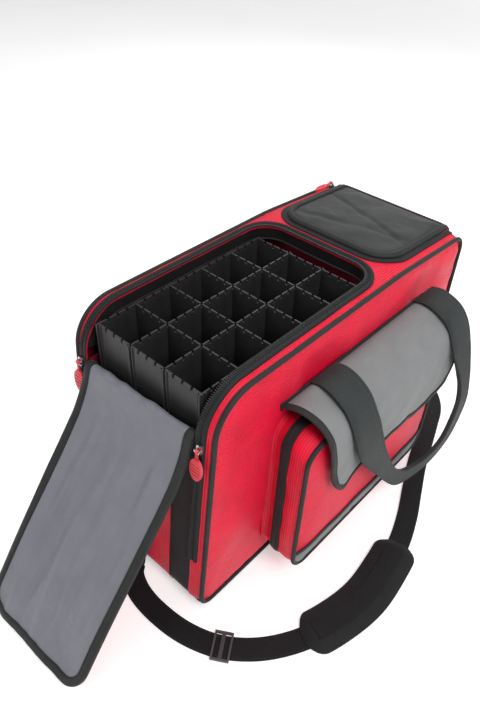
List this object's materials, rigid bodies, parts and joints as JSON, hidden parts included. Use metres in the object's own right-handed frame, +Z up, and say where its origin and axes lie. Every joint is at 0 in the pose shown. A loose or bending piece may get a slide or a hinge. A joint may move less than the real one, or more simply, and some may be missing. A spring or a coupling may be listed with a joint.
{
  "type": "tackle bag",
  "caption": "Soft tackle bag with a slotted divider insert under a fold-out zipped flap, a lidded end compartment, flap pocket, webbing handles and shoulder strap.",
  "frame": {"origin": "on the floor under the middle runner of the base", "axes": "+X along the bag towards the lidded compartment, pocket on the -Y side, +Z up"},
  "size_m": [0.7942, 0.4896, 0.3664],
  "materials": {
    "red_nylon": "ripstop nylon, slight sheen",
    "dark_piping": "woven binding over cord",
    "zip_tape": "woven tape with coil teeth",
    "grey_nylon": "fine matt weave",
    "charcoal_nylon": "fine matt weave",
    "red_lining": "thin satin lining",
    "grey_webbing": "heavy ribbed webbing",
    "black_webbing": "fine ribbed webbing",
    "pad_fabric": "padded mesh fabric",
    "divider_plastic": "thin matt sheet",
    "board_plastic": "stiff board",
    "base_plastic": "coated base cloth and moulded runners",
    "bright_metal": "plated die-cast metal",
    "red_rubber": "soft moulded tab"
  },
  "bodies": {
    "root": {"base_panel": "base_plastic", "base_board": "board_plastic", "base_feet": "base_plastic", "front_panel": "red_nylon", "back_panel": "red_nylon", "front_piping": "dark_piping", "back_piping": "dark_piping", "near_end_panel": "red_nylon", "far_end_panel": "red_nylon", "top_panel": "red_nylon", "main_zip_tape": "zip_tape", "far_zip_tape": "zip_tape", "main_lining": "red_lining", "far_lining": "red_lining", "partition": "board_plastic", "pocket_gusset": "red_nylon", "pocket_front": "red_nylon", "pocket_zip_tape": "zip_tape", "pocket_piping": "dark_piping", "pocket_trim_band": "grey_nylon", "back_handle_patches": "grey_webbing", "far_ring_tab": "grey_webbing", "near_ring_tab": "grey_webbing", "near_ring": "bright_metal", "near_hook": "bright_metal", "shoulder_strap": "black_webbing", "shoulder_pad": "pad_fabric", "strap_adjuster": "board_plastic"},
    "flap_fold": {"flap_fold_panel": "red_nylon"},
    "flap_corner_1": {"flap_corner_panel_1": "red_nylon"},
    "flap_corner_2": {"flap_corner_panel_2": "red_nylon"},
    "flap_top": {"flap_top_panel": "red_nylon"},
    "far_lid": {"far_lid": "charcoal_nylon", "far_lid_binding": "dark_piping"},
    "insert": {"long_divider_1": "divider_plastic", "long_divider_2": "divider_plastic", "long_divider_3": "divider_plastic", "long_divider_4": "divider_plastic", "cross_divider_1": "divider_plastic", "cross_divider_2": "divider_plastic", "cross_divider_3": "divider_plastic", "cross_divider_4": "divider_plastic", "cross_divider_5": "divider_plastic", "cross_divider_6": "divider_plastic"},
    "pocket_flap": {"pocket_flap": "grey_nylon", "pocket_flap_binding": "dark_piping"},
    "front_legs": {"front_handle_legs": "grey_webbing"},
    "front_loop": {"front_handle_loop": "grey_webbing"},
    "back_handle": {"back_handle": "grey_webbing"},
    "main_slider_front": {"main_slider_front": "bright_metal"},
    "main_slider_back": {"main_slider_back": "bright_metal"},
    "main_puller_front": {"main_puller_front": "red_rubber"},
    "main_puller_back": {"main_puller_back": "red_rubber"},
    "lid_slider": {"lid_slider": "bright_metal"},
    "lid_puller": {"lid_puller": "red_rubber"},
    "pocket_slider": {"pocket_slider": "bright_metal"},
    "pocket_puller": {"pocket_puller": "red_rubber"},
    "far_ring": {"far_ring": "bright_metal", "far_hook": "bright_metal", "strap_far_end": "black_webbing"}
  },
  "joints": [
    {"name": "main_flap_fold", "type": "hinge", "parent": "root", "child": "flap_fold", "pos_m": [-0.23357, 0, 0.3], "axis": [0, -1, 0], "range_deg": [-162.43, 0]},
    {"name": "main_flap_bend_1", "type": "hinge", "parent": "flap_fold", "child": "flap_corner_1", "pos_m": [-0.2524, 0, 0.25771], "axis": [0, -1, 0], "range_deg": [-35.57, 0]},
    {"name": "main_flap_bend_2", "type": "hinge", "parent": "flap_corner_1", "child": "flap_corner_2", "pos_m": [-0.25757, 0, 0.24756], "axis": [0, -1, 0], "range_deg": [-27, 0]},
    {"name": "main_flap_bend_3", "type": "hinge", "parent": "flap_corner_2", "child": "flap_top", "pos_m": [-0.26327, 0, 0.2377], "axis": [0, -1, 0], "range_deg": [-9, 0]},
    {"name": "far_lid_hinge", "type": "hinge", "parent": "root", "child": "far_lid", "pos_m": [0.276, 0, 0.358], "axis": [0, 1, 0], "range_deg": [0, 110]},
    {"name": "insert_lift", "type": "slide", "parent": "root", "child": "insert", "axis": [0, 0, 1], "range_m": [0, 0.34]},
    {"name": "pocket_flap_hinge", "type": "hinge", "parent": "root", "child": "pocket_flap", "pos_m": [0, -0.119, 0.2935], "axis": [-1, 0, 0], "range_deg": [0, 62]},
    {"name": "front_handle_swing", "type": "hinge", "parent": "pocket_flap", "child": "front_legs", "pos_m": [0, -0.119, 0.2955], "axis": [1, 0, 0], "range_deg": [-80, 0]},
    {"name": "front_handle_fold", "type": "hinge", "parent": "front_legs", "child": "front_loop", "pos_m": [0, -0.1935, 0.2895], "axis": [1, 0, 0], "range_deg": [-94.55, 0]},
    {"name": "back_handle_swing", "type": "hinge", "parent": "root", "child": "back_handle", "pos_m": [0, 0.1225, 0.291], "axis": [-1, 0, 0], "range_deg": [-167, 0]},
    {"name": "main_slider_front_slide", "type": "slide", "parent": "root", "child": "main_slider_front", "axis": [-0.0626, 0, -0.998], "range_m": [0, 0.12]},
    {"name": "main_puller_front_swing", "type": "hinge", "parent": "main_slider_front", "child": "main_puller_front", "pos_m": [-0.24139, -0.0997, 0.29034], "axis": [0, 1, 0], "range_deg": [0, 150]},
    {"name": "main_slider_back_slide", "type": "slide", "parent": "root", "child": "main_slider_back", "axis": [-0.0626, 0, -0.998], "range_m": [0, 0.12]},
    {"name": "main_puller_back_swing", "type": "hinge", "parent": "main_slider_back", "child": "main_puller_back", "pos_m": [-0.24139, 0.0997, 0.29034], "axis": [0, 1, 0], "range_deg": [0, 150]},
    {"name": "lid_slider_slide", "type": "slide", "parent": "root", "child": "lid_slider", "axis": [-1, 0, 0], "range_m": [0, 0.05]},
    {"name": "lid_puller_swing", "type": "hinge", "parent": "lid_slider", "child": "lid_puller", "pos_m": [0.246, 0.0985, 0.3641], "axis": [0, 1, 0], "range_deg": [0, 160]},
    {"name": "pocket_slider_slide", "type": "slide", "parent": "root", "child": "pocket_slider", "axis": [0, 0, -1], "range_m": [0, 0.15]},
    {"name": "pocket_puller_swing", "type": "hinge", "parent": "pocket_slider", "child": "pocket_puller", "pos_m": [0.1721, -0.144, 0.255], "axis": [0, -1, 0], "range_deg": [0, 135]},
    {"name": "far_ring_swing", "type": "hinge", "parent": "root", "child": "far_ring", "pos_m": [0.29248, 0, 0.299], "axis": [0, -1, 0], "range_deg": [0, 25]}
  ],
  "couplings": [
    {"joint": "front_handle_fold", "follows": "front_handle_swing", "ratio": 1.1818}
  ]
}
